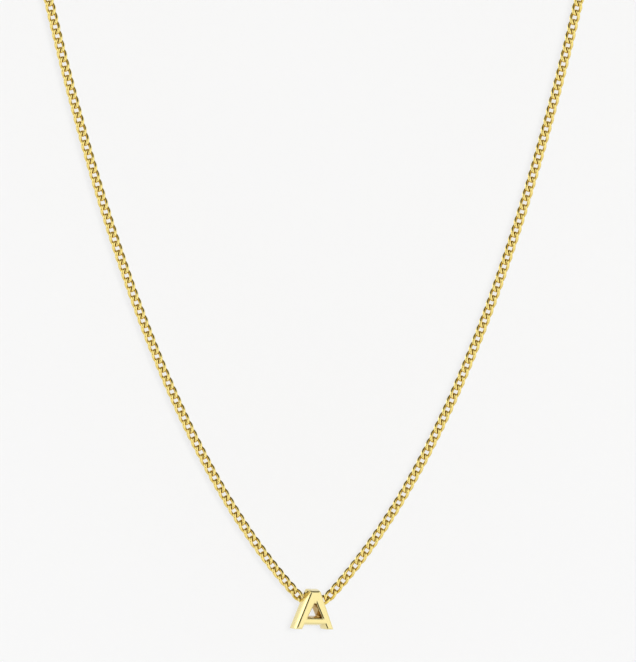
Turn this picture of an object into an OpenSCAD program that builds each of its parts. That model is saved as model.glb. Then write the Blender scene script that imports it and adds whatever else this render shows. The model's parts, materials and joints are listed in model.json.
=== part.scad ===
// Initial pendant: a cast letter A that hangs on a curb chain, as it is worn.
// Millimetres. +X is the viewer's right, the front faces -Y and +Z is up.
// The origin is where the necklace rests on the neck: the inside of the loop at its top centre.

/* [Necklace] */
// Length of the whole closed loop, clasp included
chain_len = 450; // [400:5:600]
// Width of the chain over its links, seen from the front
chain_w = 1.95; // [1.2:0.05:3]
// Thickness of the chain from front to back
chain_t = 1.3; // [0.8:0.05:2]
// Radius of the hanging curve at its lowest point
hang_r = 38.6; // [30:0.2:55]
// Length of chain that weighs as much as half of the pendant
half_load = 40.5; // [25:0.2:70]

/* [Bend beside the bail] */
// Radius of the bend where the chain leaves the bail, along the chain's inner side
bend_in_r = 0.15; // [0.1:0.05:3]
// Sideways distance in which the chain comes back into the plane of the loop
settle_run = 9; // [5:0.5:20]

/* [Letter] */
// Height of the front face
letter_h = 7.15; // [6:0.05:12]
// Width of the front face over its feet
foot_w = 7.4; // [6:0.1:12]
// Width of the flat top of the front face
top_w = 1.8; // [1.4:0.1:3]
// Depth of the letter from front to back
letter_d = 2.9; // [2.6:0.1:4.5]
// Level width of a leg at its foot, on the front face
leg_w = 1.15; // [0.8:0.05:1.6]
// Width of the blunt top of the counter
counter_top_w = 0.4; // [0.2:0.05:0.8]
// Height of the crossbar on the front face
bar_h = 1.03; // [0.6:0.01:1.4]
// Height of the crossbar's underside above the feet, on the front face
bar_lift = 1.02; // [0.6:0.02:1.6]
// How far each wall but the soles of the feet grows outwards from the front face to the back
draft = 0.4; // [0.1:0.02:0.6]
// Radius of the rounded top corners
corner_r = 0.35; // [0.1:0.05:0.6]
// Height of the solid metal above the counter, half way through the letter
apex_h = 2.6; // [1.8:0.01:3.2]

/* [Bail on the letter's back] */
// Clearance between the chain and the bore of the bail, all round
bore_gap = 0.125; // [0.08:0.005:0.4]
// Thickness of the bail's wall
bail_wall = 0.3; // [0.25:0.05:0.6]
// Length of the bail along the chain
bail_len = 1; // [0.8:0.1:2]
// Metal between the bore and the plane of the letter's back
bail_seat = 0.05; // [0:0.01:0.15]
// How far the front face reaches above the bail, so that the letter hides it
top_cover = 0.73; // [0.1:0.01:1]
// How far to the left of its balanced place the bail rests on the chain
bail_rest = 0.1; // [0:0.05:0.3]

/* [How the letter hangs] */
// Turn of the letter about the vertical, so that its left wall shows
turn_deg = 19; // [0:1:25]
// Lean of the letter, clockwise as seen from the front
lean_deg = 1.8; // [0:0.1:4]

/* [Clasp] */
// Length of the barrel
barrel_len = 8; // [6:0.5:12]
// Radius of the barrel
barrel_r = 1.5; // [1.2:0.1:2.5]
// Radius of the rounded rim at each end of the barrel
barrel_round = 0.5; // [0.2:0.05:0.9]
// Thickness of the wire of the eyes
eye_wire = 0.6; // [0.5:0.05:0.9]
// Radius of the hole in each eye
eye_hole_r = 0.65; // [0.5:0.05:1]
// Gap between the last link and the eye
end_gap = 0.15; // [0.1:0.05:0.5]

/* [Hidden] */
$fn = 48;
gold = "#e6c24f";
pale_gold = "#f2d873";

// The bail is a short tube on the letter's back, and the chain runs straight through its bore. The
// turned letter hangs with half its depth below the middle of the loop, so the bail, behind it, sits
// a little to the left. The straight stretch of chain reaches from the middle to the bail's far end.
bore_r = chain_w / 2 + bore_gap;
bail_out_r = bore_r + bail_wall;
back_y = -bore_r - bail_seat;
bail_slip = (letter_d / 2 - back_y) * tan(turn_deg) + bail_rest;
straight_run = (bail_slip + bail_len / 2) * cos(turn_deg);

// The hanging curve. Beside the bail the chain bends up to the angle at which the weight of the
// pendant holds it. From there it is a catenary, and a round arc closes it over the top.
hang_deg = atan(half_load / hang_r);
bend_r = chain_w / 2 + bend_in_r;
bend_x = straight_run + bend_r * sin(hang_deg);
bend_z = bend_r * (1 - cos(hang_deg));
bend_len = straight_run + bend_r * hang_deg * PI / 180;
function arsinh(v) = ln(v + sqrt(v * v + 1));
function hang_x(s) = bend_x + hang_r * (arsinh((s + half_load) / hang_r) - arsinh(half_load / hang_r));
function hang_z(s) = bend_z + norm([hang_r, s + half_load]) - norm([hang_r, half_load]);
function slope_deg(s) = atan((s + half_load) / hang_r);
function arc_r(s) = hang_x(s) / sin(slope_deg(s));
function half_len(s) = bend_len + s + arc_r(s) * (180 - slope_deg(s)) * PI / 180;

// Length of the catenary on each side, found by halving, so that the loop has its full length
halvings = 40;
function hang_len_between(low, high, left) = left == 0 ? (low + high) / 2 :
    half_len((low + high) / 2) < chain_len / 2 ? hang_len_between((low + high) / 2, high, left - 1)
                                               : hang_len_between(low, (low + high) / 2, left - 1);
hang_len = hang_len_between(0, chain_len / 2, halvings);
top_r = arc_r(hang_len);
top_start_deg = slope_deg(hang_len);
top_mid_z = hang_z(hang_len) + top_r * cos(top_start_deg);
loop_top_z = top_mid_z + top_r;

// The lowest point of the chain's middle line, below the origin
low_z = barrel_r - loop_top_z;

// The clasp's eyes lie on the arc, and each strand ends just short of its eye
eye_r = eye_hole_r + eye_wire / 2;
eye_out_r = eye_hole_r + eye_wire;
eye_seat = 0.1;
eye_deg = asin((barrel_len / 2 + eye_hole_r + eye_seat) / top_r);
top_end_deg = 180 - eye_deg - (eye_out_r + end_gap) / top_r * 180 / PI;

// Away from the letter the chain comes back into the plane of the loop along a smooth curve:
// the share of the bore's own slant that is left at the distance x from the middle
function slant(x) = x <= straight_run ? x : x >= straight_run + settle_run ? 0 :
    let (t = (x - straight_run) / settle_run)
    (2 * t ^ 3 - 3 * t ^ 2 + 1) * straight_run + (t ^ 3 - 2 * t ^ 2 + t) * settle_run;

// Middle of the chain at one ring, [x, z, slope in degrees], before it is slanted
bend_rings = 4;
hang_rings = 20;
crowding = 1.5;
top_rings = 15;
straight_part = [[0, 0, 0], [straight_run, 0, 0]];
bend_part = [for (i = [1:bend_rings]) let (a = hang_deg * i / bend_rings)
    [straight_run + bend_r * sin(a), bend_r * (1 - cos(a)), a]];
hang_part = [for (i = [1:hang_rings]) let (s = hang_len * (i / hang_rings) ^ crowding)
    [hang_x(s), hang_z(s), slope_deg(s)]];
top_part = [for (i = [1:top_rings]) let (a = top_start_deg + (top_end_deg - top_start_deg) * i / top_rings)
    [top_r * sin(a), top_mid_z - top_r * cos(a), a]];
strand_route = concat(straight_part, bend_part, hang_part, top_part);

// Section of the chain: eight sides that just touch its width and its thickness
strand_sides = 8;
flat_deg = 180 / strand_sides;
strand_section = [for (i = [0:strand_sides - 1]) let (a = (2 * i + 1) * flat_deg)
    [cos(a), sin(a)] / (2 * cos(flat_deg))];

// One ring of the tube, on the right for side = 1 and on the left for side = -1
function strand_ring(at, side) = [for (p = strand_section)
    let (x = at[0] - sin(at[2]) * p[0] * chain_w, z = at[1] + cos(at[2]) * p[0] * chain_w)
    [side * x,
     side * slant(at[0]) * tan(turn_deg) + p[1] * chain_t,
     z - side * slant(at[0]) * tan(lean_deg)]];

module strand(side) {
    rings = len(strand_route);
    n = strand_sides;
    points = [for (at = strand_route) each strand_ring(at, side)];
    wall = [for (i = [0:rings - 2], j = [0:n - 1])
        [i * n + j, i * n + (j + 1) % n, (i + 1) * n + (j + 1) % n, (i + 1) * n + j]];
    start_cap = [for (j = [n - 1:-1:0]) j];
    end_cap = [for (j = [0:n - 1]) (rings - 1) * n + j];
    faces = concat(wall, [start_cap, end_cap]);
    polyhedron(points, side > 0 ? faces : [for (f = faces) [for (j = [len(f) - 1:-1:0]) f[j]]]);
}

// The letter, in its own frame: the bail's bore runs along X through the middle, the front is at -Y
front_top_z = bail_out_r + top_cover;
foot_z = front_top_z - letter_h;
outer_slope = (foot_w - top_w) / 2 / letter_h;
bar_top_z = foot_z + bar_lift + bar_h;
inner_foot_w = foot_w - 2 * leg_w;
inner_slope = (inner_foot_w - counter_top_w - draft) / 2 / (letter_h - apex_h);
cut_over = 0.5;

// Half widths of the outline and of the space between the legs at the height z, and the height of
// the counter's top, where the walls have grown by the distance g from the front face
function outer_x(z, g) = top_w / 2 + outer_slope * (front_top_z - z) + g;
function inner_x(z, g) = inner_foot_w / 2 - inner_slope * (z - foot_z) - g;
function ceiling_z(g) = foot_z + (inner_foot_w / 2 - counter_top_w / 2 - g) / inner_slope;

// Rounded top right corner of the outline, from the sloping side to the flat top
corner_steps = 6;
function corner(g) = let (turn = 90 - atan(outer_slope), r = corner_r, z = front_top_z + g - r,
                          x = outer_x(z, g) - r * norm([1, outer_slope]))
    [for (i = [0:corner_steps]) let (a = 90 - turn * (corner_steps - i) / corner_steps)
        [x + r * cos(a), z + r * sin(a)]];
function mirrored(half) = concat(half, [for (i = [len(half) - 1:-1:0]) [-half[i][0], half[i][1]]]);
function outline(g) = mirrored(concat([[outer_x(foot_z, g), foot_z]], corner(g)));
function counter(g) = mirrored([[inner_x(bar_top_z + g, g), bar_top_z + g],
                                [counter_top_w / 2, ceiling_z(g)]]);
function leg_gap(g) = mirrored([[inner_x(foot_z - cut_over, g), foot_z - cut_over],
                                [inner_x(foot_z + bar_lift - g, g), foot_z + bar_lift - g]]);

// A solid with flat walls between two outlines with as many points, given as [x, z]
module drafted(front, back, front_y, back_y) {
    n = len(front);
    points = concat([for (p = front) [p[0], front_y, p[1]]], [for (p = back) [p[0], back_y, p[1]]]);
    wall = [for (i = [0:n - 1]) [i, (i + 1) % n, n + (i + 1) % n, n + i]];
    front_cap = [for (i = [n - 1:-1:0]) i];
    back_cap = [for (i = [0:n - 1]) n + i];
    polyhedron(points, concat(wall, [front_cap, back_cap]));
}

// How far the walls have grown at the depth y of the letter's own frame
function grown(y) = draft * (y - back_y + letter_d) / letter_d;

// The letter A itself, without its bail
module letter_body() {
    front_y = back_y - letter_d;
    cut_front_y = front_y - cut_over;
    cut_back_y = back_y + cut_over;
    difference() {
        drafted(outline(grown(front_y)), outline(grown(back_y)), front_y, back_y);
        drafted(counter(grown(cut_front_y)), counter(grown(cut_back_y)), cut_front_y, cut_back_y);
        drafted(leg_gap(grown(cut_front_y)), leg_gap(grown(cut_back_y)), cut_front_y, cut_back_y);
    }
}

module letter() {
    color(pale_gold) translate([0, 0, low_z]) rotate([0, lean_deg, turn_deg])
        translate([-bail_slip, 0, 0]) difference() {
            union() {
                letter_body();
                rotate([0, 90, 0]) cylinder(r = bail_out_r, h = bail_len, center = true);
            }
            rotate([0, 90, 0]) cylinder(r = bore_r, h = bail_len + 2 * cut_over, center = true);
        }
}

module chain_right() {
    color(gold) translate([0, 0, low_z]) strand(1);
}

module chain_left() {
    color(gold) translate([0, 0, low_z]) strand(-1);
}

// One eye of the clasp, a plain ring seated in the end of the barrel
module eye(side) {
    translate([side * top_r * sin(eye_deg), 0, top_r * (cos(eye_deg) - 1)])
        rotate([90, 0, 0]) rotate_extrude() translate([eye_r, 0]) circle(d = eye_wire);
}

// The barrel, turned about its length, with a rounded rim at each end
module barrel() {
    flat_len = barrel_len - 2 * barrel_round;
    rotate([0, 90, 0]) rotate_extrude() union() {
        translate([0, -barrel_len / 2]) square([barrel_r - barrel_round, barrel_len]);
        translate([0, -flat_len / 2]) square([barrel_r, flat_len]);
        for (end = [-1, 1]) translate([barrel_r - barrel_round, end * flat_len / 2]) circle(r = barrel_round);
    }
}

module clasp() {
    color(gold) translate([0, 0, barrel_r]) union() {
        barrel();
        for (side = [-1, 1]) eye(side);
    }
}

letter();
chain_left();
chain_right();
clasp();
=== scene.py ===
"""Looks of an initial pendant on a curb chain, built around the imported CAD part.

The chain's links, the cast letter and the clasp are surfaces worked out with numpy, in millimetres,
and written to the meshes in metres, in the part's own frame.
"""
import json
import math

import bpy
import numpy as np
from bpy.props import FloatProperty, FloatVectorProperty, IntProperty, PointerProperty, StringProperty
from bpy.types import Operator, Panel, PropertyGroup
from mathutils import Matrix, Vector
from mathutils.geometry import tessellate_polygon


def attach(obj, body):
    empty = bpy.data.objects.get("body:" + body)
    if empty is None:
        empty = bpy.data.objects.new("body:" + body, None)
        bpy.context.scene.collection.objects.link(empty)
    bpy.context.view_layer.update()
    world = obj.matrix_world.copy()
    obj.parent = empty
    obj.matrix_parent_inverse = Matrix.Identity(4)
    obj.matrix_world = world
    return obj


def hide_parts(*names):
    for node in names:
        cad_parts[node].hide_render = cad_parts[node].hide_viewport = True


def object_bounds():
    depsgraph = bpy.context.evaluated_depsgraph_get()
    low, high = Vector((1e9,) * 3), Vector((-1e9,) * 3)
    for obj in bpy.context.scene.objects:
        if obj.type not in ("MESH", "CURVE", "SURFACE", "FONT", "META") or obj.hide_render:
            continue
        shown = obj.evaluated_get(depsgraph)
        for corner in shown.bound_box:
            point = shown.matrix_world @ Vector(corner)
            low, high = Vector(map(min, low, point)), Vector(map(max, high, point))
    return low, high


bl_info = {
    "name": "Initial pendant on a curb chain",
    "version": (1, 0, 0),
    "blender": (4, 5, 0),
    "location": "View3D > Sidebar > Pendant",
    "description": "Builds the links, the cast letter and the clasp of an initial pendant",
    "category": "Add Mesh",
}

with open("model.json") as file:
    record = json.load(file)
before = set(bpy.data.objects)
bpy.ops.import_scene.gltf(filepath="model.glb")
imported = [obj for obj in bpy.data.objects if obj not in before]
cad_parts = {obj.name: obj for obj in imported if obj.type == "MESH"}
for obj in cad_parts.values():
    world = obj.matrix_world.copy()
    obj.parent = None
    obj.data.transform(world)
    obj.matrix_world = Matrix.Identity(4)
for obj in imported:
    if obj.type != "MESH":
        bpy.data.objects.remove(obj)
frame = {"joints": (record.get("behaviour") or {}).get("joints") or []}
CAD_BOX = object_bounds()
SWING = frame["joints"][0]

MM = 0.001
NECKLACE = "necklace"
PENDANT = "pendant"


# Sizes and colours that a user would change

class ChainSizes(PropertyGroup):
    """The curb chain and the curve in which it hangs, in millimetres"""
    width: FloatProperty(name="Width", description="Width of the chain over its links",
                         default=2.0, min=1.2, max=3.0)
    wire: FloatProperty(name="Wire", description="Thickness of a link's wire",
                        default=0.63, min=0.3, max=0.9)
    pitch: FloatProperty(name="Pitch", description="Distance from link to link, before it is fitted",
                         default=1.826, min=1.0, max=3.0)
    play: FloatProperty(name="Play", description="Slack between two links where they pull on each other",
                        default=0.03, min=0.0, max=0.2)
    twist: FloatProperty(name="Twist", description="Turn of each end of a link about the chain",
                         default=math.radians(57), min=math.radians(30), max=math.radians(65),
                         subtype="ANGLE")
    squareness: FloatProperty(name="Squareness", description="1 for an oval link, less for a squarer one",
                              default=0.67, min=0.6, max=1.0, subtype="FACTOR")
    length: FloatProperty(name="Length", description="Length of the closed loop, clasp included",
                          default=450.0, min=400.0, max=600.0)
    hang_r: FloatProperty(name="Hanging radius",
                          description="Radius of the hanging curve at its lowest point",
                          default=38.6, min=30.0, max=55.0)
    half_load: FloatProperty(name="Half load", description="Length of chain that weighs half the pendant",
                             default=40.5, min=25.0, max=70.0)
    bend_in_r: FloatProperty(name="Bend radius",
                             description="Radius of the bend beside the bail, on its inner side",
                             default=0.15, min=0.1, max=3.0)
    settle_run: FloatProperty(name="Settling run",
                              description="Distance in which the slant of the bail fades",
                              default=9.0, min=5.0, max=20.0)
    wire_steps: IntProperty(name="Steps round a link", description="Rings of points along a link's wire",
                            default=24, min=16, max=40)
    wire_sides: IntProperty(name="Sides of the wire", description="Points round a link's wire",
                            default=8, min=6, max=12)


class LetterSizes(PropertyGroup):
    """The cast letter, in millimetres"""
    height: FloatProperty(name="Height", description="Height of the front face",
                          default=7.15, min=6.0, max=12.0)
    foot_w: FloatProperty(name="Foot width", description="Width over the feet",
                          default=7.4, min=6.0, max=12.0)
    top_w: FloatProperty(name="Top width", description="Width of the flat top",
                         default=1.8, min=1.4, max=3.0)
    depth: FloatProperty(name="Depth", description="Depth from front to back",
                         default=2.9, min=2.6, max=4.5)
    leg_w: FloatProperty(name="Leg width", description="Level width of a leg",
                         default=1.15, min=0.8, max=1.6)
    counter_top_w: FloatProperty(name="Counter top", description="Width of the counter's blunt top",
                                 default=0.4, min=0.2, max=0.8)
    bar_h: FloatProperty(name="Crossbar", description="Height of the crossbar",
                         default=1.03, min=0.6, max=1.4)
    bar_lift: FloatProperty(name="Crossbar lift", description="Height of the crossbar above the feet",
                            default=1.02, min=0.6, max=1.6)
    draft: FloatProperty(name="Draft", description="Growth of the walls from front to back",
                         default=0.4, min=0.1, max=0.6)
    corner_r: FloatProperty(name="Top corners", description="Radius of the top corners",
                            default=0.35, min=0.1, max=0.6)
    small_r: FloatProperty(name="Other corners", description="Radius of every other corner of the outline",
                           default=0.09, min=0.03, max=0.2)
    bevel_w: FloatProperty(name="Bevel", description="Width of the bevel along the front edges",
                           default=0.2, min=0.05, max=0.35)
    bevel_turn: FloatProperty(name="Bevel turn", description="Turn of the bevel away from the front face",
                              default=math.radians(30), min=math.radians(15), max=math.radians(60),
                              subtype="ANGLE")
    bevel_r: FloatProperty(name="Bevel round", description="Radius from the bevel into the wall",
                           default=0.15, min=0.03, max=0.3)
    edge_r: FloatProperty(name="Polished edges",
                          description="Radius left on the other edges by the polishing",
                          default=0.06, min=0.02, max=0.2)
    apex_h: FloatProperty(name="Apex", description="Height of the solid metal above the counter",
                          default=2.6, min=1.8, max=3.2)
    bore_r: FloatProperty(name="Bore radius", description="Radius of the bail's bore",
                          default=1.1, min=0.8, max=1.8)
    bail_wall: FloatProperty(name="Bail wall", description="Thickness of the bail's wall",
                             default=0.3, min=0.25, max=0.6)
    bail_len: FloatProperty(name="Bail length", description="Length of the bail along the chain",
                            default=1.0, min=0.8, max=2.0)
    bail_seat: FloatProperty(name="Bail seat",
                             description="Metal between the bore and the letter's back",
                             default=0.05, min=0.0, max=0.15)
    top_cover: FloatProperty(name="Top cover",
                             description="How far the front face reaches above the bail",
                             default=0.73, min=0.1, max=1.0)
    bail_rest: FloatProperty(name="Bail rest",
                             description="How far left of its balanced place the bail rests",
                             default=0.1, min=0.0, max=0.3)
    turn: FloatProperty(name="Turn", description="Turn of the letter about the vertical",
                        default=math.radians(19), min=0.0, max=math.radians(25), subtype="ANGLE")
    lean: FloatProperty(name="Lean", description="Lean of the letter, clockwise from the front",
                        default=math.radians(1.8), min=0.0, max=math.radians(4), subtype="ANGLE")


class ClaspSizes(PropertyGroup):
    """The barrel clasp at the back of the neck, in millimetres"""
    length: FloatProperty(name="Length", description="Length of the barrel",
                          default=8.0, min=6.0, max=12.0)
    radius: FloatProperty(name="Radius", description="Radius of the barrel",
                          default=1.5, min=1.2, max=2.5)
    rim_r: FloatProperty(name="Rim", description="Radius of the rounded rims",
                         default=0.5, min=0.2, max=0.9)
    eye_wire: FloatProperty(name="Eye wire", description="Thickness of the eyes' wire",
                            default=0.6, min=0.5, max=0.9)
    eye_hole_r: FloatProperty(name="Eye hole", description="Radius of the hole in each eye",
                              default=0.65, min=0.5, max=1.0)
    eye_seat: FloatProperty(name="Eye seat", description="From the barrel's end to the hole of the eye",
                            default=0.1, min=0.05, max=0.3)


class Finishes(PropertyGroup):
    """Colours, as sRGB hex values"""
    letter_gold: StringProperty(name="Letter gold", description="Polished yellow gold of the letter",
                                default="#EBDDA1")
    letter_gold_deep: StringProperty(name="Letter gold, deep", description="Darker tone of the letter's gold",
                                     default="#E8D796")
    chain_gold: StringProperty(name="Chain gold", description="Polished yellow gold of the links",
                               default="#F2DF8E")
    chain_gold_deep: StringProperty(name="Chain gold, deep", description="Darker tone of the links' gold",
                                    default="#E8CF78")
    # Painted shade: a dark gold mixed into corners and the gaps between links, where nearby walls shade each
    # other
    crevice_shade: StringProperty(name="Crevices",
                            description="Gold where polishing doesn't reach, dark from handling",
                            default="#A67820")
    backdrop: StringProperty(name="Backdrop", description="Pale wall behind the necklace", default="#F2F2F2")
    floor: StringProperty(name="Floor", description="Pale floor under the necklace", default="#FCFCFC")
    surroundings: StringProperty(name="Surroundings", description="Plain ground past the wall and the floor",
                                 default="#F9F9F9")


class StageSetup(PropertyGroup):
    """Camera and backdrop"""
    camera_distance: FloatProperty(name="Camera distance", description="From the loop's plane to the camera",
                                   default=1.0, min=0.3, max=3.0, subtype="DISTANCE", unit="LENGTH")
    view_height: FloatProperty(name="View height", description="Height of the picture at the loop's plane",
                               default=0.12578, min=0.05, max=0.5, subtype="DISTANCE", unit="LENGTH")
    view_centre: FloatVectorProperty(name="View centre",
                                     description="Middle of the picture, from the loop's low point",
                                     default=(0.0008, 0.0, 0.05145), subtype="XYZ", unit="LENGTH")


# Small tools

def linear(hex_colour):
    """Linear RGBA of an sRGB hex colour."""
    srgb = np.array([int(hex_colour[i:i + 2], 16) / 255 for i in (1, 3, 5)])
    rgb = np.where(srgb <= 0.04045, srgb / 12.92, ((srgb + 0.055) / 1.055) ** 2.4)
    return (*rgb.tolist(), 1.0)


def add_node(tree, kind, settings=None, inputs=None, links=None):
    """Adds a node to the tree, sets its settings and input values, and links sockets into its inputs."""
    node = tree.nodes.new(kind)
    for key, value in (settings or {}).items():
        setattr(node, key, value)
    for key, value in (inputs or {}).items():
        node.inputs[key].default_value = value
    for key, socket in (links or {}).items():
        tree.links.new(socket, node.inputs[key])
    return node


def new_tree(owner):
    """Empties the node tree of a material or world and returns it."""
    owner.use_nodes = True
    owner.node_tree.nodes.clear()
    return owner.node_tree


def unit(v):
    """Vectors along the last axis, scaled to length 1."""
    return v / np.linalg.norm(v, axis=-1, keepdims=True)


def grid_faces(rows, columns, close_rows=False):
    """Quads of a grid of points, numbered row by row. Each row is a closed ring, and with close_rows
    the last row joins the first."""
    i = np.arange(rows if close_rows else rows - 1)[:, None]
    j = np.arange(columns)[None, :]
    i2 = (i + 1) % rows
    j2 = (j + 1) % columns
    quads = [i * columns + j, i * columns + j2, i2 * columns + j2, i2 * columns + j]
    return np.stack([q.ravel() for q in np.broadcast_arrays(*quads)], axis=1)


def spin(profile, sides):
    """Points of a profile of (x, radius) turned about X: x, r cos(angle), r sin(angle), ring by ring."""
    angle = np.arange(sides) * 2 * math.pi / sides
    x, r = profile[:, :1], profile[:, 1:]
    return np.stack([x + 0 * angle, r * np.cos(angle), r * np.sin(angle)], axis=-1).reshape(-1, 3)


def make_piece(name, points_mm, faces, material, body, replaced):
    """Makes a smooth mesh from points in millimetres, which rides on a body and stands for CAD nodes."""
    mesh = bpy.data.meshes.new(name)
    mesh.from_pydata((np.asarray(points_mm) * MM).tolist(), [], [tuple(f) for f in faces])
    mesh.update()
    mesh.shade_smooth()
    piece = bpy.data.objects.new(name, mesh)
    bpy.context.scene.collection.objects.link(piece)
    mesh.materials.append(material)
    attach(piece, body)
    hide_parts(*replaced)
    return piece


# The hanging loop

# Halvings of the range in which the catenary's length is found
HALVINGS = 60


def letter_back(sizes):
    """Depth of the letter's back in its own frame, whose origin is the middle of the bail's bore."""
    return -sizes.bore_r - sizes.bail_seat


def bail_slip(sizes):
    """How far the bail sits to the left of the chain's lowest point, so that about half the depth
    of the turned letter hangs below it."""
    return (sizes.depth / 2 - letter_back(sizes)) * math.tan(sizes.turn) + sizes.bail_rest


def angle_to_eye(sizes, loop):
    """Angle on the loop's top arc from its middle to the middle of the clasp's eye."""
    return math.asin((sizes.length / 2 + sizes.eye_hole_r + sizes.eye_seat) / loop.top_r)


def lowest_point(sizes):
    """The lowest point of the chain's middle line, in millimetres from the origin."""
    return np.array(SWING["pos_m"]) / MM + bail_slip(sizes) * unit(np.array(SWING["axis"]))


class HangingLoop:
    """The middle line of the chain, from its lowest point up to the top of the loop.

    It runs level through the bail, bends up on a small arc, follows the catenary
    z = hypot(a, s + s0), x = a * asinh((s + s0) / a), where a is the radius at the lowest point
    and s0 the length of chain that weighs half the pendant, and closes on a round arc that starts
    along the catenary's tangent. The catenary's length makes the whole loop as long as it must be.
    """

    def __init__(self, sizes, letter):
        self.a = sizes.hang_r
        self.s0 = sizes.half_load
        self.turn, self.lean = letter.turn, letter.lean
        self.run = (bail_slip(letter) + letter.bail_len / 2) * math.cos(letter.turn)
        self.bend_r = sizes.width / 2 + sizes.bend_in_r
        self.settle = sizes.settle_run
        self.half = sizes.length / 2
        self.bend_angle = math.atan2(self.s0, self.a)
        self.bend_end = self.run + self.bend_r * self.bend_angle
        low, high = 0.0, self.half
        for _ in range(HALVINGS):
            middle = (low + high) / 2
            if self.half_length(middle) < self.half:
                low = middle
            else:
                high = middle
        self.hang = low
        x, z, slope = self.catenary(low)
        self.top_r = x / math.sin(slope)
        self.top_start = slope
        self.top_centre_z = z + self.top_r * math.cos(slope)

    def catenary(self, s):
        """x, z and slope on the catenary, at the arc length s past the bend."""
        along = s + self.s0
        x = (self.run + self.bend_r * math.sin(self.bend_angle)
             + self.a * (np.arcsinh(along / self.a) - math.asinh(self.s0 / self.a)))
        z = (self.bend_r * (1 - math.cos(self.bend_angle))
             + np.hypot(self.a, along) - math.hypot(self.a, self.s0))
        return x, z, np.arctan2(along, self.a)

    def half_length(self, s):
        """Length from the lowest point to the loop's top, if the catenary is s long."""
        x, _, slope = self.catenary(s)
        return self.bend_end + s + x / math.sin(slope) * (math.pi - slope)

    def at(self, s):
        """x and z of the points at the arc lengths s from the lowest point."""
        s = np.asarray(s, float)
        turn = np.clip((s - self.run) / self.bend_r, 0, self.bend_angle)
        hang_x, hang_z, _ = self.catenary(np.clip(s - self.bend_end, 0, self.hang))
        angle = self.top_start + (s - self.bend_end - self.hang) / self.top_r
        zones = [s < self.run, s < self.bend_end, s < self.bend_end + self.hang]
        x = np.select(zones, [s, self.run + self.bend_r * np.sin(turn), hang_x],
                      self.top_r * np.sin(angle))
        z = np.select(zones, [0 * s, self.bend_r * (1 - np.cos(turn)), hang_z],
                      self.top_centre_z - self.top_r * np.cos(angle))
        return x, z

    def slant(self, x):
        """How much of the bail's slant is left at the distance x from the middle: all of it along
        the straight run, then a cubic that starts along the slant and fades to nothing."""
        t = np.clip((x - self.run) / self.settle, 0, 1)
        fading = (2 * t ** 3 - 3 * t ** 2 + 1) * self.run + (t ** 3 - 2 * t ** 2 + t) * self.settle
        return np.where(x <= self.run, x, fading)

    def strand(self, s, side):
        """Points of the right strand for side 1, or of the left one for side -1, from the lowest point.
        The slant of the bail turns them about the vertical and leans them."""
        x, z = self.at(s)
        slant = side * self.slant(x)
        return np.stack([side * x, slant * math.tan(self.turn), z - slant * math.tan(self.lean)], axis=-1)


# Curb links

# Points on a link's middle line among which its even steps are found, and the step that gives its direction
FINE_POINTS = 2001
SMALL_STEP = 1e-3


def link_surface(sizes, twist):
    """Points of one link about the origin, along X, flat side to Z, as rings round its wire.

    The middle line is a squared oval, x = A c^q and r = B s^q with c and s the cosine and sine of
    the way round, turned about X by an angle in proportion to x. The wire is round.
    """
    steps, sides = sizes.wire_steps, sizes.wire_sides
    half_l = (sizes.pitch + sizes.wire + sizes.play) / 2
    half_w = (sizes.width - sizes.wire) / 2

    def middle(way):
        c, s = np.cos(way), np.sin(way)
        x = half_l * np.sign(c) * np.abs(c) ** sizes.squareness
        r = half_w * np.sign(s) * np.abs(s) ** sizes.squareness
        angle = twist * x / half_l
        return np.stack([x, r * np.cos(angle), r * np.sin(angle)], axis=-1), angle

    fine = np.linspace(0, 2 * math.pi, FINE_POINTS)
    path, _ = middle(fine)
    gone = np.concatenate([[0], np.cumsum(np.linalg.norm(np.diff(path, axis=0), axis=1))])
    way = np.interp(np.arange(steps) * gone[-1] / steps, gone, fine)
    line, angle = middle(way)
    along = unit(middle(way + SMALL_STEP)[0] - middle(way - SMALL_STEP)[0])
    across = np.stack([0 * angle, -np.sin(angle), np.cos(angle)], axis=-1)
    outward = unit(np.cross(along, across))
    across = np.cross(outward, along)
    round_wire = (np.arange(sides) * 2 * math.pi / sides)[None, :, None]
    ring = np.cos(round_wire) * outward[:, None] + np.sin(round_wire) * across[:, None]
    return (line[:, None] + sizes.wire / 2 * ring).reshape(-1, 3)


def place_links(surface, joints, normals):
    """Copies of a link between neighbouring joints, each along its chord and flat to its normal."""
    along = unit(joints[1:] - joints[:-1])
    inward = unit(np.cross(normals, along))
    facing = np.cross(along, inward)
    axes = np.stack([along, inward, facing], axis=1)
    centres = (joints[1:] + joints[:-1]) / 2
    return centres[:, None] + np.einsum("pk,lkc->lpc", surface, axes)


def joining_link(sizes, ends):
    """Points of the link inside the bail, between two joints. It isn't twisted, so it joins the strands,
    whose links are twisted in opposite ways, and it is tilted about its chord as their nearest ends are."""
    along = unit(ends[1] - ends[0])
    level = unit(np.cross(along, [0.0, 0.0, 1.0]))
    up = np.cross(level, along)
    tilted = math.cos(sizes.twist) * level + math.sin(sizes.twist) * up
    return place_links(link_surface(sizes, 0.0), ends, tilted[None])


def link_faces(links, sizes):
    """Quads of that many links, each a closed ring of rings."""
    one = grid_faces(sizes.wire_steps, sizes.wire_sides, close_rows=True)
    first = np.arange(links)[:, None, None] * sizes.wire_steps * sizes.wire_sides
    return (first + one[None]).reshape(-1, 4)


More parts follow.
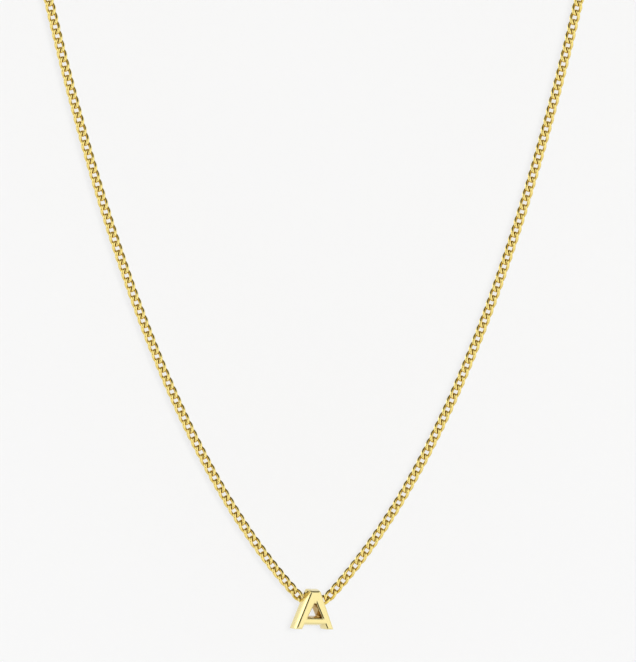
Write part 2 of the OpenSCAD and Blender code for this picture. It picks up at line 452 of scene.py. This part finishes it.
class PENDANT_OT_chain(Operator):
    """Builds both strands of the curb chain, link by link"""
    bl_idname = "pendant.chain"
    bl_label = "Curb chain"

    def execute(self, context):
        sizes = context.scene.pendant_chain
        letter = context.scene.pendant_letter
        clasp = context.scene.pendant_clasp
        loop = HangingLoop(sizes, letter)
        low = lowest_point(letter)
        eye_at = loop.half - loop.top_r * angle_to_eye(clasp, loop)
        last_tip = eye_at - clasp.eye_hole_r + sizes.wire / 2 + sizes.play
        last_link = last_tip - (sizes.pitch + sizes.wire + sizes.play) / 2
        count = round(last_link / sizes.pitch)
        pitch = last_link / count
        material = polished_gold("polished_yellow_gold_links", "chain")
        for side, name, node in ((1, "curb_links_right", "chain_right"),
                                 (-1, "curb_links_left", "chain_left")):
            joints = loop.strand((np.arange(count + 1) + 0.5) * pitch, side)
            normals = np.broadcast_to([0.0, -1.0, 0.0], (count, 3))
            points = place_links(link_surface(sizes, -side * sizes.twist), joints, normals)
            # The link that joins the strands belongs to the right one
            if side > 0:
                ends = np.concatenate([loop.strand([pitch / 2], -1), joints[:1]])
                points = np.concatenate([joining_link(sizes, ends), points])
            faces = link_faces(len(points), sizes)
            make_piece(name, points.reshape(-1, 3) + low, faces, material, NECKLACE, [node])
        return {"FINISHED"}


# The cast letter

# Least turn of an edge that stays sharp in the shading, and how near a face's normal has to be to the
# letter's front or back, as a cosine
SHARP_TURN = math.radians(45)
FLAT_COSINE = 0.9999
# Weight of a strong face in Blender's weighted normals. A face of middle strength has 0.
STRONG_FACE = 16384


def round_corners(corners, radii, steps):
    """The outline of a polygon whose corners are arcs of the given radii, steps + 1 points each.

    Each arc touches both sides of its corner: it starts r / tan(half the angle) before the corner
    and turns about a centre on the angle's bisector.
    """
    corners = np.asarray(corners, float)
    before = unit(np.roll(corners, 1, axis=0) - corners)
    after = unit(np.roll(corners, -1, axis=0) - corners)
    half = np.arccos(np.clip((before * after).sum(1), -1, 1)) / 2
    radii = np.asarray(radii, float)
    centres = corners + unit(before + after) * (radii / np.sin(half))[:, None]
    start = corners + before * (radii / np.tan(half))[:, None] - centres
    end = corners + after * (radii / np.tan(half))[:, None] - centres
    sweep = np.arctan2(start[:, 0] * end[:, 1] - start[:, 1] * end[:, 0], (start * end).sum(1))
    angles = sweep[:, None] * np.linspace(0, 1, steps + 1)[None]
    cos, sin = np.cos(angles), np.sin(angles)
    arc = np.stack([start[:, None, 0] * cos - start[:, None, 1] * sin,
                    start[:, None, 0] * sin + start[:, None, 1] * cos], axis=-1)
    return (centres[:, None] + arc).reshape(-1, 2)


class LetterForm:
    """Outlines of the letter A about the middle of the bail, as [x, z], where its walls have grown by g.

    The outer sides run straight from the flat top to the feet. The inner sides are straight lines
    too, from the counter's blunt top to the feet, and the crossbar divides them.
    """

    def __init__(self, sizes):
        self.s = sizes
        self.top = sizes.bore_r + sizes.bail_wall + sizes.top_cover
        self.foot = self.top - sizes.height
        self.outer_slope = (sizes.foot_w - sizes.top_w) / 2 / sizes.height
        self.inner_foot = sizes.foot_w / 2 - sizes.leg_w
        counter_top = (sizes.counter_top_w + sizes.draft) / 2
        self.inner_slope = (self.inner_foot - counter_top) / (sizes.height - sizes.apex_h)

    def outer_x(self, z, g):
        """Distance of the outer side from the middle at the height z, with the growth g."""
        return self.s.top_w / 2 + self.outer_slope * (self.top - z) + g

    def inner_x(self, z, g):
        """Distance of the inner side from the middle at the height z, with the growth g."""
        return self.inner_foot - self.inner_slope * (z - self.foot) - g

    def outline(self, g, sole, steps):
        """The outer outline, anticlockwise from the right foot's outer corner, the soles raised by sole."""
        s = self.s
        foot = self.foot + sole
        bar = self.foot + s.bar_lift - g
        top = self.top + g
        half = [[self.outer_x(foot, g), foot], [self.outer_x(top, g), top]]
        inner = [[self.inner_x(bar, g), bar], [self.inner_x(foot, g), foot]]
        other_half = [[-x, z] for x, z in reversed(half)]
        other_inner = [[-x, z] for x, z in reversed(inner)]
        corners = half + other_half + other_inner + inner
        small = s.small_r
        radii = [small, s.corner_r, s.corner_r, small, small, small, small, small]
        return round_corners(corners, radii, steps)

    def counter(self, g, steps):
        """The counter's outline, anticlockwise from its lower right corner."""
        s = self.s
        bar = self.foot + s.bar_lift + s.bar_h + g
        tip = s.counter_top_w / 2
        top = self.foot + (self.inner_foot - tip - g) / self.inner_slope
        half = [[self.inner_x(bar, g), bar], [tip, top]]
        corners = half + [[-x, z] for x, z in reversed(half)]
        return round_corners(corners, [s.small_r] * 4, steps)


def edge_profile(turns, radii, flats, steps):
    """Outward way and depth along an edge that turns through the angles, from the face to the wall.

    It turns on arcs of the radii, steps + 1 points each, from one angle to the next, and runs
    straight for the length of each flat between them. Both columns end in the sharp corner that
    the edge replaces, so the first is 0 at the wall and the second 0 at the face.
    """
    pieces, place = [], np.zeros(2)
    for i, r in enumerate(radii):
        angle = np.linspace(turns[i], turns[i + 1], steps + 1)
        out, down = np.sin(angle) - math.sin(turns[i]), math.cos(turns[i]) - np.cos(angle)
        arc = place + r * np.stack([out, down], axis=1)
        pieces.append(arc)
        place = arc[-1]
        if i < len(flats):
            place = place + flats[i] * np.array([math.cos(turns[i + 1]), math.sin(turns[i + 1])])
    profile = np.concatenate(pieces)
    return profile[:, 0] - profile[-1, 0], profile[:, 1]


def letter_rows(sizes, edge_steps, wall_steps):
    """Depth, growth and rise of the feet's soles on each row of the walls, from the front face to the back.

    A bevel breaks the front edges and a quarter round the back ones. Between them the walls'
    growth slows towards the back, g = draft (1 - (1 - t)^2) at the share t of the depth, so they
    are slightly convex.
    """
    back = letter_back(sizes)
    front = back - sizes.depth
    quarter = math.pi / 2
    front_out, front_in = edge_profile([0, sizes.bevel_turn, quarter],
                                       [sizes.edge_r, sizes.bevel_r], [sizes.bevel_w], edge_steps)
    back_out, back_in = edge_profile([0, quarter], [sizes.edge_r], [], edge_steps)
    t = np.linspace(0, 1, wall_steps + 1)[1:-1]
    wall = front + front_in[-1] + (sizes.depth - front_in[-1] - back_in[-1]) * t
    depth = np.concatenate([front + front_in, wall, back - back_in[::-1]])
    inset = -np.concatenate([front_out, 0 * t, back_out[::-1]])
    share = (depth - front) / sizes.depth
    return depth, sizes.draft * (1 - (1 - share) ** 2) - inset, inset


def letter_solid(sizes, corner_steps, edge_steps, wall_steps):
    """Points and faces of the letter without its bail, in its own frame."""
    form = LetterForm(sizes)
    depth, growth, inset = letter_rows(sizes, edge_steps, wall_steps)
    outer = np.array([form.outline(g, e, corner_steps) for g, e in zip(growth, inset)])
    inner = np.array([form.counter(g, corner_steps) for g in growth])
    rows, n_outer, n_inner = len(depth), outer.shape[1], inner.shape[1]

    def walls(loops):
        y = np.broadcast_to(depth[:, None], loops.shape[:2])
        return np.stack([loops[..., 0], y, loops[..., 1]], axis=-1).reshape(-1, 3)

    points = np.concatenate([walls(outer), walls(inner)])
    first_inner = rows * n_outer
    faces = [f[::-1] for f in grid_faces(rows, n_outer).tolist()]
    faces += [[first_inner + i for i in f] for f in grid_faces(rows, n_inner).tolist()]
    for row, is_front in ((0, True), (rows - 1, False)):
        index = [*range(row * n_outer, (row + 1) * n_outer),
                 *range(first_inner + row * n_inner, first_inner + (row + 1) * n_inner)]
        loops = [[Vector((x, z, 0)) for x, z in outline[row]] for outline in (outer, inner)]
        for corners in tessellate_polygon(loops):
            faces.append(turned([index[i] for i in corners], points, is_front))
    return points, faces


def turned(face, points, is_front):
    """The triangle's points in the order that makes it face the front, or the back."""
    a, b, c = points[face]
    normal_y = np.cross(b - a, c - a)[1]
    return face if (normal_y < 0) == is_front else face[::-1]


def hang_letter(points, sizes):
    """Leans the letter clockwise as seen from the front, turns it about the vertical and hangs it."""
    cos, sin = math.cos(sizes.lean), math.sin(sizes.lean)
    leaned = np.array([[cos, 0, sin], [0, 1, 0], [-sin, 0, cos]])
    cos, sin = math.cos(sizes.turn), math.sin(sizes.turn)
    yawed = np.array([[cos, -sin, 0], [sin, cos, 0], [0, 0, 1]])
    return points @ (yawed @ leaned).T + np.array(SWING["pos_m"]) / MM


def bail_tube(sizes, sides, rim_r, rim_steps):
    """Points and faces of the bail: a short tube about X, whose rims are rounded with the radius rim_r."""
    turn = np.linspace(0, math.pi / 2, rim_steps + 1)
    half, inner, outer = sizes.bail_len / 2, sizes.bore_r, sizes.bore_r + sizes.bail_wall
    side, rise = rim_r * (1 - np.cos(turn)), rim_r * (1 - np.sin(turn))
    quarter = np.stack([half - side[::-1], outer - rise[::-1]], axis=1)
    right = np.concatenate([quarter, quarter[::-1] * [1, -1] + [0, inner + outer]])
    profile = np.concatenate([right, right[::-1] * [-1, 1]])
    return spin(profile, sides), grid_faces(len(profile), sides, close_rows=True).tolist()


def fuse(piece, points_mm, faces):
    """Fuses another closed shape with a piece for good."""
    mesh = bpy.data.meshes.new("addition")
    mesh.from_pydata((points_mm * MM).tolist(), [], faces)
    addition = bpy.data.objects.new("addition", mesh)
    bpy.context.scene.collection.objects.link(addition)
    modifier = piece.modifiers.new("fuse", "BOOLEAN")
    modifier.operation = "UNION"
    modifier.solver = "EXACT"
    modifier.object = addition
    apply_modifiers(piece)
    bpy.data.objects.remove(addition)
    bpy.data.meshes.remove(mesh)


def apply_modifiers(piece):
    """Puts what the piece's modifiers make into its own mesh."""
    ready = piece.evaluated_get(bpy.context.evaluated_depsgraph_get())
    shaped = bpy.data.meshes.new_from_object(ready)
    old = piece.data
    piece.modifiers.clear()
    piece.data = shaped
    shaped.name = piece.name
    bpy.data.meshes.remove(old)


def even_shading(piece):
    """Smooth shading that is sharp only at hard edges, such as the bail's seam. The flat front and back
    rule the shading of the rounded edges beside them."""
    mesh = piece.data
    mesh.shade_smooth()
    mesh.set_sharp_from_angle(angle=SHARP_TURN)
    normals = np.empty(len(mesh.polygons) * 3)
    mesh.polygons.foreach_get("normal", normals)
    turn = bpy.context.scene.pendant_letter.turn
    flat = np.abs(normals.reshape(-1, 3) @ [math.sin(turn), -math.cos(turn), 0]) > FLAT_COSINE
    weight = mesh.attributes.new("__mod_weightednormals_faceweight", "INT", "FACE")
    weight.data.foreach_set("value", np.where(flat, STRONG_FACE, 0).astype(np.int32))
    weighted = piece.modifiers.new("even_shading", "WEIGHTED_NORMAL")
    weighted.keep_sharp = True
    weighted.use_face_influence = True


class PENDANT_OT_letter(Operator):
    """Builds the cast letter with its polished edges and the bail on its back"""
    bl_idname = "pendant.letter"
    bl_label = "Cast letter"

    def execute(self, context):
        sizes = context.scene.pendant_letter
        points, faces = letter_solid(sizes, corner_steps=6, edge_steps=3, wall_steps=8)
        material = polished_gold("polished_yellow_gold_letter", "letter")
        piece = make_piece("cast_letter", hang_letter(points, sizes), faces, material, PENDANT,
                           ["letter"])
        bail_points, bail_faces = bail_tube(sizes, sides=48, rim_r=0.1, rim_steps=3)
        fuse(piece, hang_letter(bail_points, sizes), bail_faces)
        even_shading(piece)
        return {"FINISHED"}


# The clasp

def lathe(profile, sides):
    """A profile of (x, radius), from the left end's rim to the right one's, turned about X and closed by
    a flat cap at each end."""
    last = (len(profile) - 1) * sides
    caps = [list(range(sides)), list(range(last + sides - 1, last - 1, -1))]
    walls = [f[::-1] for f in grid_faces(len(profile), sides).tolist()]
    return spin(profile, sides), walls + caps


def ring_surface(mean_r, wire_r, steps, sides):
    """A plain ring about Y: a circle of the wire's radius carried round a circle of the mean radius."""
    way = np.arange(steps)[:, None] * 2 * math.pi / steps
    wire = np.arange(sides)[None] * 2 * math.pi / sides
    r = mean_r + wire_r * np.cos(wire)
    y = wire_r * np.sin(wire) + 0 * way
    points = np.stack([r * np.cos(way), y, r * np.sin(way)], axis=-1)
    return points.reshape(-1, 3), grid_faces(steps, sides, close_rows=True).tolist()


def barrel(sizes, rim_steps, sides):
    """The clasp's barrel about X. Each rim is a quarter round, rim (1 - cos) from the end and
    rim (1 - sin) below the barrel's radius."""
    turn = np.linspace(0, math.pi / 2, rim_steps + 1)
    x = -sizes.length / 2 + sizes.rim_r * (1 - np.cos(turn))
    r = sizes.radius - sizes.rim_r * (1 - np.sin(turn))
    left = np.stack([x, r], axis=1)
    return lathe(np.concatenate([left, left[::-1] * [-1, 1]]), sides)


class PENDANT_OT_clasp(Operator):
    """Builds the barrel clasp with an eye at each end"""
    bl_idname = "pendant.clasp"
    bl_label = "Barrel clasp"

    def execute(self, context):
        sizes = context.scene.pendant_clasp
        loop = HangingLoop(context.scene.pendant_chain, context.scene.pendant_letter)
        points, faces = barrel(sizes, rim_steps=6, sides=48)
        eye_angle = angle_to_eye(sizes, loop)
        wire_r = sizes.eye_wire / 2
        eye, eye_faces = ring_surface(sizes.eye_hole_r + wire_r, wire_r, steps=40, sides=16)
        for side in (-1, 1):
            place = [side * loop.top_r * math.sin(eye_angle), 0, loop.top_r * (math.cos(eye_angle) - 1)]
            faces = faces + [[i + len(points) for i in f] for f in eye_faces]
            points = np.concatenate([points, eye + place])
        material = polished_gold("polished_yellow_gold_clasp", "chain")
        make_piece("barrel_clasp", points + [0, 0, sizes.radius], faces, material, NECKLACE,
                   ["clasp"])
        return {"FINISHED"}


# Materials

# How far apart walls still shade each other, in millimetres, and the roughness of the dullest places
SHADE_REACH = {"letter": 1.9, "chain": 0.35}
DULLEST = {"letter": 0.26, "chain": 0.17}
# From crest to crest of the polishing mop's waviness, and between hair scratches along X, Y and Z, in
# millimetres. Real scratches are finer, and these are as coarse as the picture needs to show them.
WAVE = 0.625
SCRATCHES = (0.5, 1 / 12, 0.05)
# Height that the bumps stand for, in millimetres
RELIEF = 0.02


def polished_gold(name, kind):
    """Yellow gold, cast or drawn, then polished: a metal with a mirror finish that handling has
    marked with hair scratches and a faint waviness, so that its highlights break up softly."""
    colours = bpy.context.scene.pendant_finishes
    light = colours.letter_gold if kind == "letter" else colours.chain_gold
    deep = colours.letter_gold_deep if kind == "letter" else colours.chain_gold_deep
    dullest = DULLEST[kind]
    material = bpy.data.materials.new(name)
    tree = new_tree(material)
    where = add_node(tree, "ShaderNodeTexCoord")
    # The mop leaves the gold faintly wavy
    wave = add_node(tree, "ShaderNodeTexNoise",
                    inputs={"Scale": 1 / (WAVE * MM), "Detail": 2.0, "Roughness": 0.5},
                    links={"Vector": where.outputs["Object"]})
    # The hair scratches are ten times as long as they are apart, because the piece is polished along
    stretched = add_node(tree, "ShaderNodeMapping", inputs={"Scale": [1 / (s * MM) for s in SCRATCHES]},
                         links={"Vector": where.outputs["Object"]})
    scratches = add_node(tree, "ShaderNodeTexNoise", inputs={"Scale": 1.0, "Detail": 3.0, "Roughness": 0.6},
                         links={"Vector": stretched.outputs["Vector"]})
    tone = add_node(tree, "ShaderNodeMix", {"data_type": "RGBA"}, {"A": linear(light), "B": linear(deep)},
                    {"Factor": wave.outputs["Fac"]})
    # Painted shade: corners and the gaps between links, where nearby walls shade the gold, are mixed towards
    # a darker gold
    gap = add_node(tree, "ShaderNodeAmbientOcclusion", {"samples": 6}, {"Distance": SHADE_REACH[kind] * MM})
    open_part = add_node(tree, "ShaderNodeMapRange", inputs={"From Min": 0.25, "From Max": 0.75},
                         links={"Value": gap.outputs["AO"]})
    tone = add_node(tree, "ShaderNodeMix", {"data_type": "RGBA"}, {"A": linear(colours.crevice_shade)},
                    {"B": tone.outputs["Result"], "Factor": open_part.outputs["Result"]})
    roughness = add_node(tree, "ShaderNodeMapRange",
                         inputs={"From Min": 0.3, "From Max": 0.7, "To Min": dullest / 2, "To Max": dullest},
                         links={"Value": scratches.outputs["Fac"]})
    height = add_node(tree, "ShaderNodeMath", {"operation": "MULTIPLY_ADD"}, {1: 0.15},
                      {0: scratches.outputs["Fac"], 2: wave.outputs["Fac"]})
    bump = add_node(tree, "ShaderNodeBump", inputs={"Strength": 0.12, "Distance": RELIEF * MM},
                    links={"Height": height.outputs["Value"]})
    metal = add_node(tree, "ShaderNodeBsdfPrincipled", inputs={"Metallic": 1.0},
                     links={"Base Color": tone.outputs["Result"], "Roughness": roughness.outputs["Result"],
                            "Normal": bump.outputs["Normal"]})
    add_node(tree, "ShaderNodeOutputMaterial", links={"Surface": metal.outputs["BSDF"]})
    return material


def matte_card(name, hex_colour, one_sided=False):
    """Matte card: pale, with hardly any gloss. A one-sided card can't be seen from behind, so that it
    never hides the object."""
    material = bpy.data.materials.new(name)
    tree = new_tree(material)
    card = add_node(tree, "ShaderNodeBsdfPrincipled",
                    inputs={"Base Color": linear(hex_colour), "Roughness": 0.9, "Specular IOR Level": 0.1})
    surface = card.outputs["BSDF"]
    if one_sided:
        behind = add_node(tree, "ShaderNodeNewGeometry").outputs["Backfacing"]
        clear = add_node(tree, "ShaderNodeBsdfTransparent").outputs["BSDF"]
        surface = add_node(tree, "ShaderNodeMixShader",
                           links={0: behind, 1: surface, 2: clear}).outputs["Shader"]
    add_node(tree, "ShaderNodeOutputMaterial", links={"Surface": surface})
    return material


# Stage

# The room's front and rear: a direction from the object, the cosines of the angle from it between which
# the light changes, and the light at each
ROOM = ((0.0, 1.0, 0.0), (-0.4, 0.6), (1.2, 0.95))
# The same of its ceiling and its floor, with the share of the light that is left at each
SHADES = (((0.0, 0.0, 1.0), (0.58, 0.78), (1.0, 0.08)),
          ((0.0, 0.0, 1.0), (-0.5, -0.9), (1.0, 0.8)))
# Direction, inner and outer angle in degrees, and brightness of each softbox
SOFTBOXES = (((-0.87, 0.33, 0.38), 5, 17, 1.7),
             ((0.7, -0.7, 0.0), 14, 40, 0.03))
# Direction, inner and outer angle in degrees, and darkness of each black flag
FLAGS = (((-0.3, -0.87, 0.38), 13, 20, 0.95),
         ((-0.3, -0.87, -0.38), 13, 20, 0.95))
# The key's place from the middle of the picture and its width, in metres, and its power in watts
KEY_PLACE = Vector((0.019, -1.0, 0.006))
KEY_SIZE = 0.027
KEY_POWER = 1.29
# Reach of the sheets, depth of the floor under the letter and distance of the wall behind the loop
SHEET_REACH = 0.9
FLOOR_DROP = 0.08
WALL_BACK = 0.04


def flat_sheet(name, corners, material):
    """A flat rectangle through four corners, in metres, which isn't part of the object."""
    mesh = bpy.data.meshes.new(name)
    mesh.from_pydata(corners, [], [(0, 1, 2, 3)])
    mesh.materials.append(material)
    sheet = bpy.data.objects.new(name, mesh)
    bpy.context.scene.collection.objects.link(sheet)
    return sheet


def soft_light(name, place, target, size, power):
    """A square area light at place, turned to target, in metres and watts."""
    light = bpy.data.lights.new(name, "AREA")
    light.shape = "SQUARE"
    light.size = size
    light.energy = power
    lamp = bpy.data.objects.new(name, light)
    bpy.context.scene.collection.objects.link(lamp)
    lamp.location = place
    lamp.rotation_euler = (Vector(target) - Vector(place)).to_track_quat("-Z", "Y").to_euler()
    return lamp


def share_towards(tree, direction, axis, span, shares):
    """A socket that changes smoothly from one share to the other while the cosine of the angle between
    the direction and the axis crosses the span."""
    cosine = add_node(tree, "ShaderNodeVectorMath", {"operation": "DOT_PRODUCT"},
                      {1: Vector(axis).normalized()}, {0: direction})
    return add_node(tree, "ShaderNodeMapRange", {"interpolation_type": "SMOOTHSTEP"},
                    {"From Min": span[0], "From Max": span[1], "To Min": shares[0], "To Max": shares[1]},
                    {"Value": cosine.outputs["Value"]}).outputs["Result"]


def cosines(*degrees):
    """Cosines of angles in degrees."""
    return [math.cos(math.radians(angle)) for angle in degrees]


def studio_world(scene):
    """A studio that the gold reflects: a pale room with a dim ceiling, two softboxes and black flags
    that draw dark lines on the edges. For the camera and the sheets it is plain and pale all round.

    The light from a direction is the room's, times the shades, plus the softboxes, times what the
    flags let through.
    """
    world = bpy.data.worlds.new("studio")
    scene.world = world
    # Every ray that meets the room is then of a known kind, which the mix below needs
    world.cycles.sampling_method = "NONE"
    tree = new_tree(world)
    direction = add_node(tree, "ShaderNodeTexCoord").outputs["Generated"]
    steps = [("MULTIPLY", *shade) for shade in SHADES]
    steps += [("ADD", axis, cosines(outer, inner), (0.0, light)) for axis, inner, outer, light in SOFTBOXES]
    steps += [("MULTIPLY", axis, cosines(outer, inner), (1.0, 1.0 - dark))
              for axis, inner, outer, dark in FLAGS]
    level = share_towards(tree, direction, *ROOM)
    for operation, *step in steps:
        level = add_node(tree, "ShaderNodeMath", {"operation": operation},
                         links={0: level, 1: share_towards(tree, direction, *step)}).outputs["Value"]
    room = add_node(tree, "ShaderNodeBackground", inputs={"Color": linear("#FFFFFF")},
                    links={"Strength": level})
    plain = add_node(tree, "ShaderNodeBackground",
                     inputs={"Color": linear(scene.pendant_finishes.surroundings), "Strength": 1.0})
    seen = add_node(tree, "ShaderNodeLightPath")
    plainly = add_node(tree, "ShaderNodeMath", {"operation": "ADD", "use_clamp": True},
                       links={0: seen.outputs["Is Camera Ray"], 1: seen.outputs["Is Diffuse Ray"]})
    both = add_node(tree, "ShaderNodeMixShader",
                    links={0: plainly.outputs["Value"], 1: room.outputs["Background"],
                           2: plain.outputs["Background"]})
    add_node(tree, "ShaderNodeOutputWorld", links={"Surface": both.outputs["Shader"]})


class PENDANT_OT_stage(Operator):
    """Sets the camera, the lights, the floor and the backdrop"""
    bl_idname = "pendant.stage"
    bl_label = "Stage"

    def execute(self, context):
        scene = context.scene
        setup = scene.pendant_stage
        centre = Vector(lowest_point(scene.pendant_letter) * MM) + Vector(setup.view_centre)
        camera = bpy.data.cameras.new("camera")
        camera.lens = camera.sensor_width * setup.camera_distance / setup.view_height
        camera.clip_start = 0.01
        eye = bpy.data.objects.new("camera", camera)
        scene.collection.objects.link(eye)
        eye.location = centre + Vector((0, -setup.camera_distance, 0))
        eye.rotation_euler = (math.pi / 2, 0, 0)
        scene.camera = eye

        studio_world(scene)
        # A key just right of the camera, whose soft shadow falls to the left. The gold doesn't
        # reflect it, only the studio's own light.
        key = soft_light("key", centre + KEY_PLACE, centre, KEY_SIZE, KEY_POWER)
        key.visible_glossy = False
        finishes = scene.pendant_finishes
        reach, floor_z = SHEET_REACH, CAD_BOX[0].z - FLOOR_DROP
        ends = (-reach, reach, reach, -reach)
        floor = [(x, y, floor_z) for x, y in zip(ends, (-reach, -reach, reach, reach))]
        wall = [(x, WALL_BACK, z) for x, z in zip(ends, (floor_z, floor_z, reach, reach))]
        paper = matte_card("floor_paper", finishes.floor)
        card = matte_card("backdrop_card", finishes.backdrop, one_sided=True)
        for sheet in (flat_sheet("floor", floor, paper), flat_sheet("backdrop", wall, card)):
            sheet.visible_glossy = sheet.visible_diffuse = sheet.visible_shadow = False
        scene.view_settings.view_transform = "Standard"
        return {"FINISHED"}


class PENDANT_PT_panel(Panel):
    """Lists the pieces of the pendant in the sidebar"""
    bl_label = "Pendant"
    bl_idname = "PENDANT_PT_panel"
    bl_space_type = "VIEW_3D"
    bl_region_type = "UI"
    bl_category = "Pendant"

    def draw(self, context):
        for operator in OPERATORS:
            self.layout.operator(operator.bl_idname)
        for group in GROUPS:
            box = self.layout.box()
            for prop in GROUPS[group].__annotations__:
                box.prop(getattr(context.scene, group), prop)


OPERATORS = (PENDANT_OT_stage, PENDANT_OT_chain, PENDANT_OT_letter, PENDANT_OT_clasp)
GROUPS = {"pendant_chain": ChainSizes, "pendant_letter": LetterSizes, "pendant_clasp": ClaspSizes,
          "pendant_finishes": Finishes, "pendant_stage": StageSetup}


def register():
    for group in GROUPS:
        bpy.utils.register_class(GROUPS[group])
        setattr(bpy.types.Scene, group, PointerProperty(type=GROUPS[group]))
    for operator in OPERATORS:
        bpy.utils.register_class(operator)
    bpy.utils.register_class(PENDANT_PT_panel)


def unregister():
    bpy.utils.unregister_class(PENDANT_PT_panel)
    for operator in reversed(OPERATORS):
        bpy.utils.unregister_class(operator)
    for group in reversed(GROUPS):
        delattr(bpy.types.Scene, group)
        bpy.utils.unregister_class(GROUPS[group])


def main():
    """Builds everything."""
    register()
    bpy.ops.pendant.stage()
    bpy.ops.pendant.chain()
    bpy.ops.pendant.letter()
    bpy.ops.pendant.clasp()


if __name__ == "__main__":
    main()
